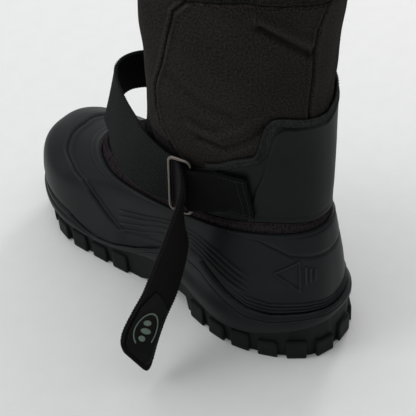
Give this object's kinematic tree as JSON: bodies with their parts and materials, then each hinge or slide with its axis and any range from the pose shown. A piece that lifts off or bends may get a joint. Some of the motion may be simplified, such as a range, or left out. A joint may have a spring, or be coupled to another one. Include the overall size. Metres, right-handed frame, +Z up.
{
  "type": "snow boot",
  "caption": "Tall snow boot for the left foot: lugged rubber sole, moulded rubber shell, textile shaft and an instep strap that runs through a wire ring on the outer side",
  "frame": {"origin": "on the floor under the middle of the heel, at the heel tread's flat", "axes": "+Z up, toe towards -Y, +X towards the outer side of the left foot"},
  "size_m": [0.1985, 0.2961, 0.3396],
  "materials": {
    "sole_rubber": "satin moulded rubber, near black with a green-grey tint",
    "shell_rubber": "satin moulded rubber, very dark green-grey",
    "felt": "grey felt",
    "shaft_cloth": "dark brown-grey woven melange cloth",
    "binding_cloth": "dark purple-brown woven tape",
    "counter_skin": "smooth synthetic leather, dark green-grey",
    "webbing": "ribbed woven webbing, black green-grey",
    "ring_steel": "dark bronze-grey wire",
    "patch_rubber": null
  },
  "bodies": {
    "root": {"outsole": "sole_rubber", "shell": "shell_rubber", "insole": "felt", "textile_upper": "shaft_cloth", "rim_binding": "binding_cloth", "heel_counter": "counter_skin", "ring_tab": "webbing", "strap_ring": "ring_steel", "instep_strap": "webbing"}
  },
  "joints": []
}
